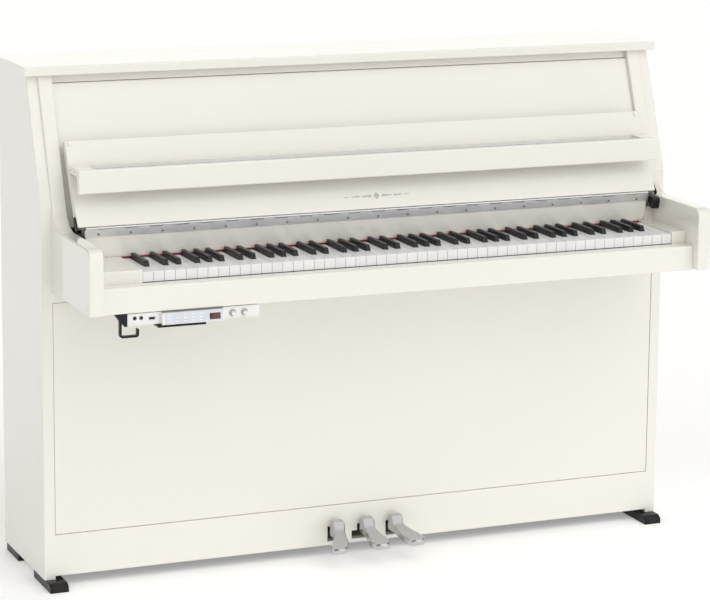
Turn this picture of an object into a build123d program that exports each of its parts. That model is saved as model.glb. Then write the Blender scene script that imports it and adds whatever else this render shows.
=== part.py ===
from build123d import *
from math import cos, radians, sin, tan
import os

# Upright piano, in millimetres. X runs to the right, the keyboard faces -Y and Z is up.
# The origin is on the floor under the middle of the whole box.

os.makedirs("parts", exist_ok=True)

# ---------------------------------------------------------------- driving dimensions
WIDTH = 1490.0
DEPTH = 574.0
HEIGHT = 1110.0
FRONT = -DEPTH / 2
BACK = DEPTH / 2

# Casework
LID_THICK = 19.0
LID_BOTTOM = HEIGHT - LID_THICK
LID_FRONT = 51.0
SIDE_OUTER = 735.5
SIDE_THICK = 24.0
SIDE_INNER = SIDE_OUTER - SIDE_THICK
SIDE_BOTTOM = 19.0
SIDE_KNEE = 826.0
ARM_THICK = 31.2
ARM_INNER = SIDE_INNER - ARM_THICK
ARM_TOP = 781.0
ARM_BOTTOM = 643.5
ARM_CORNER = -48.5
CASE_FRONT = -25.0
SLANT = tan(radians(20.5))
PANEL_RECESS = 9.6
PANEL_TOP = 1072.0
PANEL_BOTTOM = 783.0
PANEL_THICK = 18.0
CLEAT_FRONT = CASE_FRONT + 18.5
CLEAT_THICK = 16.0
CLEAT_WIDTH = 15.0
INSIDE_HALF = 680.0

# Keyboard
WHITE_PITCH = 23.55
WHITE_COUNT = 52
KEYS_MIDDLE = 32.0
KEYS_LEFT = KEYS_MIDDLE - WHITE_PITCH * WHITE_COUNT / 2
KEYS_RIGHT = KEYS_MIDDLE + WHITE_PITCH * WHITE_COUNT / 2
KEY_FRONT = -230.0
HEAD_LENGTH = 50.0
KEY_END = 110.0
KEY_TOP = 718.0
KEY_BASE = 697.0
KEY_GAP = 1.0
SHARP_WIDTH = 11.0
SHARP_TOP = 730.0
SHARP_END = -84.0
BALANCE_Y = -30.0
BED_TOP = 677.0
BED_BOTTOM = 645.0
SLIP_FRONT = -265.7
SLIP_TOP = 696.0

# Fallboard: the open leaf leans back on its continuous hinge behind the keys
HINGE_Y = -92.5
HINGE_Z = 788.0
KNUCKLE_R = 2.5
PIN_R = 1.2
BORE_CLEARANCE = 0.05
LEAF_TILT = radians(62.2)
LEAF_LENGTH = 193.0
LEAF_THICK = 20.0
LEAF_HALF = 675.5
FACE_FOOT = (-95.0, 791.0)
SHELF_HALF = 675.5
SHELF_DEPTH = 72.0
SHELF_THICK = 15.0
NOSING_HEIGHT = 50.0
NOSING_THICK = 16.0
SHELF_PIVOT = (136.0, 3.5)

# Back structure and strings
POST_FRONT = 238.0
FRAME_BACK = 283.0
BOARD_BACK = 213.0
PLATE_FRONT = 178.0
PLATE_BACK = 190.0
STRING_Y = 166.0

# Pedals
PEDAL_PIVOT = (60.0, 64.0)
PEDAL_XS = {"left_pedal": -71.0, "middle_pedal": 0.0, "right_pedal": 69.0}
PEDAL_SPLAY = {"left_pedal": -20.0, "middle_pedal": 4.0, "right_pedal": 17.0}
SLOT_HALF = 15.0
SLOT_LOW = 34.5
SLOT_HIGH = 69.0


# ---------------------------------------------------------------- helpers
def block(low, high, mode=Mode.ADD):
    """A box between two opposite corners, in the part being built."""
    size = [h - l for l, h in zip(low, high)]
    with Locations(low):
        Box(*size, align=(Align.MIN, Align.MIN, Align.MIN), mode=mode)


def side_extrusion(points, x_low, x_high, radius=0.0, mode=Mode.ADD):
    """A (y, z) outline carried along X; radius is one value or one per point."""
    with BuildSketch(Plane.YZ.offset(x_low)) as outline:
        with BuildLine():
            FilletPolyline(*points, radius=radius, close=True)
        make_face()
    extrude(outline.sketch, amount=x_high - x_low, mode=mode)


def x_cylinder(y, z, radius, x_low, x_high, mode=Mode.ADD):
    """A round bar or bore along X."""
    with BuildSketch(Plane.YZ.offset(x_low)) as section:
        with Locations((y, z)):
            Circle(radius)
    extrude(section.sketch, amount=x_high - x_low, mode=mode)


def y_bars(points, radius, y_low, y_high, mode=Mode.ADD):
    """Round bars or bores along Y, one at each (x, z)."""
    with BuildSketch(Plane.XZ.offset(-y_high)) as section:
        with Locations(*points):
            Circle(radius)
    extrude(section.sketch, amount=y_high - y_low, mode=mode)


def leaf_point(along, outward):
    """(y, z) of a point given along the open leaf's face and out of that face."""
    return (
        FACE_FOOT[0] + along * cos(LEAF_TILT) - outward * sin(LEAF_TILT),
        FACE_FOOT[1] + along * sin(LEAF_TILT) + outward * cos(LEAF_TILT),
    )


def slanted_y(z, offset=0.0):
    """Y of the arms' slanted front at a height, moved back by an offset."""
    return ARM_CORNER + offset + (z - ARM_TOP) * SLANT


def write(piece, name):
    """Label a finished piece and save it as its own STEP file."""
    piece.part.label = name
    export_step(piece.part, f"parts/{name}.step")


# ---------------------------------------------------------------- casework
def make_lid():
    hinge_chamfer = 4.0
    lid_back = BACK - 4.0
    with BuildPart() as top_lid:
        side_extrusion(
            [
                (LID_FRONT, LID_BOTTOM),
                (LID_FRONT, HEIGHT),
                (lid_back, HEIGHT),
                (lid_back, LID_BOTTOM + hinge_chamfer),
                (lid_back - hinge_chamfer, LID_BOTTOM),
            ],
            -WIDTH / 2,
            WIDTH / 2,
            [1.5, 3.0, 2.0, 0.0, 0.0],
        )
        fillet(top_lid.faces().filter_by(Axis.X).edges(), 1.2)
    write(top_lid, "top_lid")


def make_lid_hinge():
    axis_y = BACK - 3.0
    barrel_r = 2.8
    half = 690.0
    pitch = 46.0
    with BuildPart() as lid_hinge:
        block((-half, FRAME_BACK, 1060.0), (half, FRAME_BACK + 1.5, LID_BOTTOM))
        x_cylinder(axis_y, LID_BOTTOM, barrel_r, -half, half)
        for step in range(1, int(2 * half / pitch)):
            seam = -half + step * pitch
            block((seam, 270.0, LID_BOTTOM - 3.4), (seam + 0.5, BACK, LID_BOTTOM + 3.4), Mode.SUBTRACT)
    write(lid_hinge, "lid_hinge")


def make_sides():
    side_top_y = CASE_FRONT + (LID_BOTTOM - SIDE_KNEE) * SLANT
    outline = [
        (BACK, SIDE_BOTTOM),
        (CASE_FRONT, SIDE_BOTTOM),
        (CASE_FRONT, SIDE_KNEE),
        (side_top_y, LID_BOTTOM),
        (BACK, LID_BOTTOM),
    ]
    for name, low in (("left_side_panel", -SIDE_OUTER), ("right_side_panel", SIDE_INNER)):
        with BuildPart() as side_panel:
            side_extrusion(outline, low, low + SIDE_THICK)
            outer = side_panel.faces().filter_by(Axis.X).sort_by(Axis.X)[0 if low < 0 else -1]
            upright = outer.edges().filter_by(lambda e: e.length > 100 and e.center().Z < LID_BOTTOM - 1)
            fillet(upright.filter_by(lambda e: e.center().Z > SIDE_BOTTOM + 1), 2.5)
        write(side_panel, name)


def make_arms():
    outline = [
        (slanted_y(ARM_BOTTOM) + 130.0, ARM_BOTTOM),
        (FRONT, ARM_BOTTOM),
        (FRONT, ARM_TOP),
        (ARM_CORNER, ARM_TOP),
        (slanted_y(LID_BOTTOM), LID_BOTTOM),
        (slanted_y(LID_BOTTOM) + 66.0, LID_BOTTOM),
        (60.0, ARM_TOP + 20.0),
    ]
    radii = [0.0, 4.0, 20.0, 60.0, 0.0, 0.0, 60.0]
    for name, low in (("left_arm", -SIDE_INNER), ("right_arm", ARM_INNER)):
        with BuildPart() as arm:
            side_extrusion(outline, low, low + ARM_THICK, radii)
            faces = arm.faces().filter_by(Axis.X)
            front_edges = faces.edges().filter_by(lambda e: e.center().Y < CASE_FRONT - 60)
            fillet(front_edges.filter_by(lambda e: e.center().Z > ARM_BOTTOM + 1), 3.0)
        write(arm, name)


def make_panels():
    face_top = slanted_y(PANEL_TOP, PANEL_RECESS)
    face_bottom = slanted_y(PANEL_BOTTOM, PANEL_RECESS)
    back = PANEL_THICK * (1 + SLANT**2) ** 0.5
    with BuildPart() as upper_panel:
        side_extrusion(
            [
                (face_bottom, PANEL_BOTTOM),
                (face_top, PANEL_TOP),
                (face_top + back, PANEL_TOP),
                (face_bottom + back, PANEL_BOTTOM),
            ],
            -INSIDE_HALF,
            INSIDE_HALF,
            [0.0, 4.0, 2.0, 0.0],
        )
    write(upper_panel, "upper_panel")

    with BuildPart() as lower_panel:
        block((-710.6, CASE_FRONT, 117.4), (710.6, CASE_FRONT + 18.0, 620.7))
        fillet(lower_panel.faces().sort_by(Axis.Y)[0].edges(), 2.0)
    write(lower_panel, "lower_panel")

    # The rail over the lower panel with the cleats behind its sides, and the rail over the upper panel
    with BuildPart() as cross_rails:
        block((-SIDE_INNER, CASE_FRONT, 621.5), (SIDE_INNER, CASE_FRONT + 20.0, ARM_BOTTOM))
        for low in (-SIDE_INNER, SIDE_INNER - CLEAT_WIDTH):
            block((low, CLEAT_FRONT, 131.0), (low + CLEAT_WIDTH, CLEAT_FRONT + CLEAT_THICK, 630.0))
        rail_low, rail_high = PANEL_TOP + 1.0, LID_BOTTOM - 1.0
        side_extrusion(
            [
                (slanted_y(rail_low, PANEL_RECESS + 4.0), rail_low),
                (slanted_y(rail_high, PANEL_RECESS + 4.0), rail_high),
                (113.0, rail_high),
                (113.0, 1052.0),
                (93.0, 1052.0),
                (93.0, rail_low),
            ],
            -INSIDE_HALF,
            INSIDE_HALF,
        )
    write(cross_rails, "cross_rails")


def make_toe_rail():
    rail_back = CASE_FRONT + 20.0
    with BuildPart() as toe_rail:
        block((-SIDE_INNER, CASE_FRONT, 25.5), (SIDE_INNER, rail_back, 116.5))
        long_edges = toe_rail.edges().filter_by(Axis.X).group_by(Axis.Y)[0]
        fillet(long_edges, 2.0)
        for x in PEDAL_XS.values():
            block(
                (x - SLOT_HALF, CASE_FRONT - 1, SLOT_LOW),
                (x + SLOT_HALF, rail_back + 1, SLOT_HIGH),
                Mode.SUBTRACT,
            )
        # Sideways bay in which the pressed middle pedal locks
        block((-28.0, CASE_FRONT - 1, SLOT_LOW), (0.0, rail_back + 1, 53.5), Mode.SUBTRACT)
        block((-SIDE_INNER, CLEAT_FRONT, 100.0), (SIDE_INNER, CLEAT_FRONT + CLEAT_THICK, 131.0))
    write(toe_rail, "toe_rail")


def make_floor_parts():
    with BuildPart() as bottom_board:
        block((-SIDE_INNER, 20.0, 26.0), (SIDE_INNER, POST_FRONT, 46.0))
    write(bottom_board, "bottom_board")

    toe = [(-61.5, 0.0), (-61.5, 12.0), (-50.0, SIDE_BOTTOM), (67.0, SIDE_BOTTOM), (67.0, 0.0)]
    heel = [(186.0, 0.0), (186.0, SIDE_BOTTOM), (281.0, SIDE_BOTTOM), (281.0, 0.0)]
    with BuildPart() as feet:
        for low in (-SIDE_OUTER + 1.8, SIDE_OUTER - 1.8 - 41.0):
            side_extrusion(toe, low, low + 41.0, [0.0, 5.0, 8.0, 0.0, 0.0])
            side_extrusion(heel, low, low + 41.0)
        fillet(feet.edges().filter_by(Axis.Z), 2.0)
    write(feet, "feet")


# ---------------------------------------------------------------- key bed and its fronts
def make_key_bed():
    with BuildPart() as key_bed:
        block((-ARM_INNER, -245.0, BED_BOTTOM), (ARM_INNER, 155.0, BED_TOP))
    write(key_bed, "key_bed")

    with BuildPart() as key_slip:
        outline = [
            (SLIP_FRONT, 641.3),
            (SLIP_FRONT, SLIP_TOP),
            (KEY_FRONT - 1.6, SLIP_TOP),
            (KEY_FRONT - 1.6, BED_TOP),
            (-245.0, BED_TOP),
            (-245.0, 641.3),
        ]
        side_extrusion(outline, -INSIDE_HALF, INSIDE_HALF, [2.0, 4.0, 1.0, 0.0, 0.0, 0.0])
    write(key_slip, "key_slip")

    with BuildPart() as key_blocks:
        for low, high in ((-INSIDE_HALF, KEYS_LEFT - 0.6), (KEYS_RIGHT + 0.6, INSIDE_HALF)):
            block((low, KEY_FRONT - 1.4, BED_TOP), (high, -80.0, 723.0))
        fillet(key_blocks.edges().filter_by(Axis.X).group_by(Axis.Z)[-1], 4.0)
        # Cheeks that close the gap between the name board and the arms
        cheek = [(-81.0, BED_TOP), (-81.0, 722.0), (-75.0, 752.0), (-45.0, 752.0), (-45.0, BED_TOP)]
        for low in (-INSIDE_HALF, NAME_BOARD_HALF + 0.5):
            side_extrusion(cheek, low, low + INSIDE_HALF - NAME_BOARD_HALF - 0.5)
    write(key_blocks, "key_blocks")


NAME_BOARD_HALF = 657.0


def make_name_board():
    bottom = 722.0
    outline = [
        (-90.5, 780.0),
        (-78.5, bottom),
        (-64.5, bottom),
        (-72.0, 768.0),
        (-60.0, 768.0),
        (-60.0, 780.0),
    ]
    with BuildPart() as name_board:
        side_extrusion(outline, -NAME_BOARD_HALF, NAME_BOARD_HALF)
        y_bars(hinge_screw_points(), 1.6, -95.0, -78.0, Mode.SUBTRACT)
    write(name_board, "name_board")


def make_felt_linings():
    """Felt strips: under the name board, on the key frame's rails and over each pedal slot."""
    with BuildPart() as felt_linings:
        block((KEYS_LEFT, -81.0, 720.4), (KEYS_RIGHT, -68.0, 722.0))
        block((KEYS_LEFT, -215.0, 684.0), (KEYS_RIGHT, -190.0, 686.0))
        block((KEYS_LEFT, 85.0, 694.0), (KEYS_RIGHT, 105.0, KEY_BASE))
        for x in PEDAL_XS.values():
            block((x - SLOT_HALF, CASE_FRONT + 1.5, SLOT_HIGH - 2.5), (x + SLOT_HALF, -6.0, SLOT_HIGH))
    write(felt_linings, "felt_linings")


# ---------------------------------------------------------------- fallboard
def hinge_screw_points():
    count = 19
    pitch = 70.0
    height = 774.5
    return [((i - (count - 1) / 2) * pitch, height) for i in range(count)]


KNUCKLE_PITCH = 28.0
KNUCKLE_LENGTH = 27.5
KNUCKLE_COUNT = 47


def knuckle_middles(first):
    """X of every second knuckle of the continuous hinge, starting at index first."""
    middle = (KNUCKLE_COUNT - 1) / 2
    return [(i - middle) * KNUCKLE_PITCH for i in range(first, KNUCKLE_COUNT, 2)]


def add_knuckles(first):
    with Locations(*[(x, HINGE_Y, HINGE_Z) for x in knuckle_middles(first)]):
        Cylinder(KNUCKLE_R, KNUCKLE_LENGTH, rotation=(0, 90, 0))


def make_fall_hinges():
    plate = 1.3
    low_y, low_z = -88.25, 769.0
    bend_y, bend_z = -90.53, 780.0
    neck_y, neck_z = -91.6, HINGE_Z - 3.0
    bore = PIN_R + BORE_CLEARANCE
    with BuildPart() as fall_hinge_fixed:
        side_extrusion(
            [
                (low_y, low_z),
                (bend_y, bend_z),
                (neck_y, neck_z),
                (neck_y - plate, neck_z),
                (bend_y - plate, bend_z),
                (low_y - plate, low_z),
            ],
            -660.0,
            660.0,
        )
        tab_height = 2.0
        with Locations(*[(x, neck_y - plate / 2, neck_z + tab_height / 2 - 0.5) for x in knuckle_middles(0)]):
            Box(KNUCKLE_LENGTH, plate, tab_height)
        add_knuckles(0)
        x_cylinder(HINGE_Y, HINGE_Z, bore, -660.0, 660.0, Mode.SUBTRACT)
        y_bars(hinge_screw_points(), 1.6, -95.0, -85.0, Mode.SUBTRACT)
        x_cylinder(HINGE_Y, HINGE_Z, PIN_R, -659.0, 659.0)
    write(fall_hinge_fixed, "fall_hinge_fixed")

    with BuildPart() as fall_hinge_moving:
        plate_low, plate_high = 0.0, 1.4
        side_extrusion(
            [
                leaf_point(plate_low, -16.0),
                leaf_point(plate_high, -16.0),
                leaf_point(plate_high, -6.6),
                leaf_point(plate_low, -6.6),
            ],
            -658.0,
            658.0,
        )
        with BuildPart(mode=Mode.PRIVATE) as tab:
            side_extrusion(
                [
                    leaf_point(plate_low, -7.0),
                    leaf_point(plate_high, -7.0),
                    leaf_point(plate_high, -4.0),
                    leaf_point(plate_low, -4.0),
                ],
                -KNUCKLE_LENGTH / 2,
                KNUCKLE_LENGTH / 2,
            )
        with Locations(*[(x, 0, 0) for x in knuckle_middles(1)]):
            add(tab.part)
        add_knuckles(1)
        x_cylinder(HINGE_Y, HINGE_Z, bore, -660.0, 660.0, Mode.SUBTRACT)
    write(fall_hinge_moving, "fall_hinge_moving")

    with BuildPart() as hinge_screws:
        y_bars(hinge_screw_points(), 1.4, -91.8, -80.0)
        y_bars(hinge_screw_points(), 2.7, -92.4, -91.7)
    write(hinge_screws, "hinge_screws")


def make_leaf():
    with BuildPart() as fallboard_leaf:
        side_extrusion(
            [
                leaf_point(1.5, 0.0),
                leaf_point(LEAF_LENGTH, 0.0),
                leaf_point(LEAF_LENGTH, -LEAF_THICK),
                leaf_point(1.5, -LEAF_THICK),
            ],
            -LEAF_HALF,
            LEAF_HALF,
            [1.0, 5.0, 5.0, 1.0],
        )
        # Rubber-tipped stops on which the folded shelf rests
        face = Plane(origin=(0, *leaf_point(LEAF_LENGTH - 8.0, 0.0)), x_dir=(1, 0, 0),
                     z_dir=(0, -sin(LEAF_TILT), cos(LEAF_TILT)))
        with BuildSketch(face):
            with Locations((-666.0, 0.0), (666.0, 0.0)):
                Circle(5.0)
        extrude(amount=3.0)
    write(fallboard_leaf, "fallboard_leaf")


def make_dampers():
    outline = [
        (-110.0, 771.0),
        (-106.0, 778.0),
        (-84.0, 778.0),
        (-80.0, 770.0),
        (-96.0, 752.5),
        (-104.0, 752.5),
    ]
    with BuildPart() as soft_close_dampers:
        for low, high in ((-ARM_INNER, -664.5), (664.5, ARM_INNER)):
            side_extrusion(outline, low, high, 2.0)
    write(soft_close_dampers, "soft_close_dampers")


def make_shelf():
    pivot_y, pivot_z = leaf_point(*SHELF_PIVOT)
    front = pivot_y - SHELF_DEPTH
    rear_low = pivot_y - SHELF_THICK / tan(LEAF_TILT)
    outline = [
        (pivot_y, pivot_z),
        (front, pivot_z),
        (front, pivot_z - NOSING_HEIGHT),
        (front + NOSING_THICK, pivot_z - NOSING_HEIGHT),
        (front + NOSING_THICK, pivot_z - SHELF_THICK),
        (rear_low, pivot_z - SHELF_THICK),
    ]
    trough_front = front + 9.0
    trough_back = pivot_y - 12.0
    trough_half = 640.0
    trough_depth = 9.0
    with BuildPart() as music_shelf:
        side_extrusion(outline, -SHELF_HALF, SHELF_HALF, [0.0, 3.0, 3.0, 3.0, 5.0, 1.0])
        block(
            (-trough_half, trough_front, pivot_z - trough_depth),
            (trough_half, trough_back, pivot_z + 1),
            Mode.SUBTRACT,
        )
    write(music_shelf, "music_shelf")

    with BuildPart() as shelf_felt:
        block(
            (-trough_half, trough_front, pivot_z - trough_depth),
            (trough_half, trough_back, pivot_z - trough_depth + 2.0),
        )
    write(shelf_felt, "shelf_felt")


# ---------------------------------------------------------------- keyboard
WHITE_STEPS = {"c": 0, "d": 1, "e": 2, "f": 3, "g": 4, "a": 5, "b": 6}
NAMES = ["c", "cs", "d", "ds", "e", "f", "fs", "g", "gs", "a", "as", "b"]


def all_keys():
    """Every key from the lowest A to the highest C: (note name, octave, white, left, right).

    The right and left edges are those of its tail, between and beside the sharps.
    """
    low_group = 3 * WHITE_PITCH / 5
    high_group = 4 * WHITE_PITCH / 7
    first_c = KEYS_LEFT + 2 * WHITE_PITCH
    keys = []
    for note in range(-3, 85):
        octave, step = divmod(note, 12)
        base = first_c + octave * 7 * WHITE_PITCH
        if step < 5:
            left, width = base + step * low_group, low_group
        else:
            left, width = base + 3 * WHITE_PITCH + (step - 5) * high_group, high_group
        keys.append((NAMES[step], octave + 1, left, left + width, base))
    return keys


def white_key_outline(index, keys):
    """Corners of one white key seen from above: a wide head and a tail beside the sharps."""
    name, _octave, left, right, base = keys[index]
    head_left = base + WHITE_STEPS[name] * WHITE_PITCH + KEY_GAP / 2
    head_right = head_left + WHITE_PITCH - KEY_GAP
    tail_left, tail_right = head_left, head_right
    if index > 0 and keys[index - 1][0].endswith("s") and len(keys[index - 1][0]) == 2:
        tail_left = sharp_edges(keys[index - 1])[1] + KEY_GAP
    if index + 1 < len(keys) and len(keys[index + 1][0]) == 2:
        tail_right = sharp_edges(keys[index + 1])[0] - KEY_GAP
    shoulder = KEY_FRONT + HEAD_LENGTH
    return [
        (head_left, KEY_FRONT),
        (head_right, KEY_FRONT),
        (head_right, shoulder),
        (tail_right, shoulder),
        (tail_right, KEY_END),
        (tail_left, KEY_END),
        (tail_left, shoulder),
        (head_left, shoulder),
    ]


def sharp_edges(key):
    middle = (key[2] + key[3]) / 2
    return middle - SHARP_WIDTH / 2, middle + SHARP_WIDTH / 2


def tidy_corners(points):
    """Leave out a corner that repeats the one before it."""
    kept = []
    for point in points:
        if not kept or abs(point[0] - kept[-1][0]) + abs(point[1] - kept[-1][1]) > 1e-6:
            kept.append(point)
    return kept


def white_key(index, keys):
    balance_hole = 3.0
    outline = tidy_corners(white_key_outline(index, keys))
    with BuildPart() as key:
        with BuildSketch(Plane.XY.offset(KEY_BASE)):
            with BuildLine():
                Polyline(*outline, close=True)
            make_face()
        extrude(amount=KEY_TOP - KEY_BASE)
        front_top = key.edges().filter_by(Axis.X).group_by(Axis.Z)[-1].sort_by(Axis.Y)[0]
        fillet(front_top, 1.2)
    tail = [x for x, y in outline if y == KEY_END]
    middle = sum(tail) / 2
    with BuildPart() as drilled:
        add(key.part)
        with Locations((middle, BALANCE_Y, KEY_TOP)):
            Hole(balance_hole)
    return drilled.part


def sharp_key(index, keys):
    left, right = sharp_edges(keys[index])
    middle = (left + right) / 2
    front = KEY_FRONT + HEAD_LENGTH + KEY_GAP
    stick_top = KEY_TOP - 3.0
    top_length = SHARP_END - front
    with BuildPart() as key:
        block((left, front, KEY_BASE), (right, KEY_END, stick_top))
        with BuildSketch(Plane.XY.offset(stick_top)):
            with Locations((middle, front + top_length / 2)):
                Rectangle(SHARP_WIDTH, top_length)
        with BuildSketch(Plane.XY.offset(SHARP_TOP)):
            with Locations((middle, front + top_length / 2 + 2.0)):
                Rectangle(SHARP_WIDTH - 2.4, top_length - 6.0)
        loft()
        crown = key.edges().filter_by(lambda e: e.center().Z > SHARP_TOP - 0.01)
        fillet(crown, 1.0)
        with Locations((middle, BALANCE_Y, stick_top)):
            Hole(3.0)
    return key.part


def make_keys():
    keys = all_keys()
    single_octave = 4
    groups = {}
    for index, (name, octave, _left, _right, _base) in enumerate(keys):
        is_sharp = len(name) == 2
        if octave == single_octave:
            node = f"key_{name}{octave}"
        else:
            hand = "bass" if octave < single_octave else "treble"
            node = f"{'black' if is_sharp else 'white'}_keys_{hand}"
        shape = sharp_key(index, keys) if is_sharp else white_key(index, keys)
        groups.setdefault(node, []).append(shape)
    for node, shapes in groups.items():
        with BuildPart() as key_group:
            add(shapes)
        write(key_group, node)


def tail_middles():
    """X of every key's tail, where its pins, hammer and string stand."""
    keys = all_keys()
    middles = []
    for index, key in enumerate(keys):
        if len(key[0]) == 2:
            middles.append(sum(sharp_edges(key)) / 2)
        else:
            tail = [x for x, y in white_key_outline(index, keys) if y == KEY_END]
            middles.append(sum(tail) / 2)
    return middles


def make_key_frame():
    with BuildPart() as key_frame:
        block((KEYS_LEFT, -215.0, BED_TOP), (KEYS_RIGHT, -190.0, 684.0))
        block((KEYS_LEFT, BALANCE_Y - 10, BED_TOP), (KEYS_RIGHT, BALANCE_Y + 10, 694.0))
        block((KEYS_LEFT, 85.0, BED_TOP), (KEYS_RIGHT, 105.0, 694.0))
        for x in (-560.0, -160.0, 224.0, 624.0):
            block((x - 20, -190.0, BED_TOP), (x + 20, BALANCE_Y - 10, 684.0))
            block((x - 20, BALANCE_Y + 10, BED_TOP), (x + 20, 85.0, 684.0))
    write(key_frame, "key_frame")

    with BuildPart() as balance_pins:
        with BuildSketch(Plane.XY.offset(694.0)):
            with Locations(*[(x, BALANCE_Y) for x in tail_middles()]):
                Circle(1.7)
        extrude(amount=719.5 - 694.0)
        # Felt-topped punchings that the keys rock on
        with BuildSketch(Plane.XY.offset(694.0)):
            with Locations(*[(x, BALANCE_Y) for x in tail_middles()]):
                Circle(4.5)
        extrude(amount=2.4)
    write(balance_pins, "balance_pins")


# ---------------------------------------------------------------- action
DAMPED_NOTES = 66


def pin_points():
    """(x, z) of every tuning pin, in four staggered rows."""
    return [(x, 1000.0 + 14.0 * (index % 4)) for index, x in enumerate(tail_middles())]


def strut_xs():
    """Gaps between notes where the plate's struts and the action's brackets stand."""
    middles = tail_middles()
    return [(middles[i] + middles[i + 1]) / 2 for i in (0, 21, 43, 65, 86)]


def make_action():
    middles = tail_middles()
    with BuildPart() as hammer:
        side_extrusion([(104.0, 796.0), (104.0, 816.0), (120.0, 812.0), (120.0, 796.0)], -4, 4)
        side_extrusion([(107.0, 812.0), (92.0, 922.0), (98.0, 922.0), (113.0, 812.0)], -2.5, 2.5)
        side_extrusion(
            [(80.0, 921.0), (80.0, 934.0), (106.0, 943.0), (120.0, 934.0), (120.0, 924.0), (104.0, 914.0)],
            -4.2,
            4.2,
            [1.0, 1.0, 6.0, 5.0, 5.0, 4.0],
        )
    with BuildPart() as hammers:
        with Locations(*[(x, 0, 0) for x in middles]):
            add(hammer.part)
    write(hammers, "hammers")

    with BuildPart() as damper:
        side_extrusion([(140.0, 800.0), (148.0, 880.0), (152.0, 880.0), (150.0, 800.0)], -2.0, 2.0)
        side_extrusion([(150.0, 862.0), (150.0, 894.0), (164.2, 894.0), (164.2, 862.0)], -2.4, 2.4, 1.0)
    with BuildPart() as dampers:
        with Locations(*[(x, 0, 0) for x in middles[:DAMPED_NOTES]]):
            add(damper.part)
    write(dampers, "dampers")

    with BuildPart() as mute_rail:
        block((-600.0, 149.0, 956.0), (655.0, 152.0, 988.0))
        block((-600.0, 146.0, 988.0), (655.0, 154.0, 994.0))
    write(mute_rail, "mute_rail")

    with BuildPart() as action_frame:
        block((-600.0, 100.0, 768.0), (655.0, 152.0, 792.0))
        for x in strut_xs():
            side_extrusion(
                [
                    (118.0, BED_TOP),
                    (150.0, BED_TOP),
                    (150.0, 796.0),
                    (134.0, 830.0),
                    (92.0, 912.0),
                    (76.0, 912.0),
                    (76.0, 890.0),
                    (98.0, 796.0),
                    (118.0, 766.0),
                ],
                x - 1.5,
                x + 1.5,
            )
        block((-600.0, 76.0, 892.0), (655.0, 86.0, 906.0))
    write(action_frame, "action_frame")


# ---------------------------------------------------------------- back structure
def make_back():
    post_half = 30.0
    with BuildPart() as back_frame:
        block((-SIDE_INNER, POST_FRONT, 1000.0), (SIDE_INNER, FRAME_BACK, LID_BOTTOM - 4.0))
        block((-SIDE_INNER, POST_FRONT, 26.0), (SIDE_INNER, FRAME_BACK, 120.0))
    with BuildPart() as posts:
        for x in (-SIDE_INNER + post_half, -340.0, 0.0, 340.0, SIDE_INNER - post_half):
            block((x - post_half, POST_FRONT, 120.2), (x + post_half, FRAME_BACK, 999.8))
        # Pin block
        block((-SIDE_INNER, PLATE_BACK, 952.0), (SIDE_INNER, POST_FRONT - 0.2, 1076.0))
    with BuildPart() as wooden_back:
        add(back_frame.part)
        add(posts.part)
    write(wooden_back, "back_frame")

    struts = strut_xs()
    board_low, board_high = 60.0, 950.0
    with BuildPart() as ribs:
        for step in range(-4, 5):
            with Locations(Location((step * 190.0, (BOARD_BACK + POST_FRONT) / 2, 505.0), (0, 45, 0))):
                Box(20.0, POST_FRONT - BOARD_BACK - 2.0, 1500.0)
        inner = 640.0
        with Locations((0, (BOARD_BACK + POST_FRONT) / 2, (board_low + board_high) / 2)):
            Box(2 * inner, 40.0, board_high - board_low - 60.0, mode=Mode.INTERSECT)
    with BuildPart() as soundboard:
        block((-SIDE_INNER, 205.0, board_low), (SIDE_INNER, BOARD_BACK, board_high))
    with BuildPart() as bridges:
        for left, right, z in zip(struts, struts[1:], (330.0, 520.0, 640.0, 740.0)):
            block((left + 10.0, 169.0, z), (right - 10.0, 205.0, z + 30.0))
    with BuildPart() as sounding:
        add(soundboard.part)
        add(ribs.part)
        add(bridges.part)
    write(sounding, "soundboard")

    strut_half = 3.0
    with BuildPart() as iron_frame:
        block((-700.0, PLATE_FRONT, 60.0), (700.0, PLATE_BACK, 1070.0))
        for left, right in zip(struts, struts[1:]):
            block(
                (left + strut_half, PLATE_FRONT - 1, 130.0),
                (right - strut_half, PLATE_BACK + 1, 940.0),
                Mode.SUBTRACT,
            )
        for x in struts:
            block((x - strut_half, 160.0, 70.0), (x + strut_half, PLATE_FRONT, 990.0))
    write(iron_frame, "iron_frame")

    with BuildPart() as tuning_pins:
        y_bars(pin_points(), 3.0, 155.0, PLATE_FRONT)
    write(tuning_pins, "tuning_pins")

    wires = []
    for index, (x, pin_z) in enumerate(pin_points()):
        gauge = 1.5 - 1.0 * index / len(pin_points())
        low = 110.0 + 5.0 * index
        with BuildPart(Plane.XY.offset(low)) as wire:
            with Locations((x, STRING_Y)):
                Cylinder(gauge, pin_z - 3.2 - low, align=(Align.CENTER, Align.CENTER, Align.MIN))
        wires.append(wire.part)
    with BuildPart() as strings:
        add(wires)
    write(strings, "strings")


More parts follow.
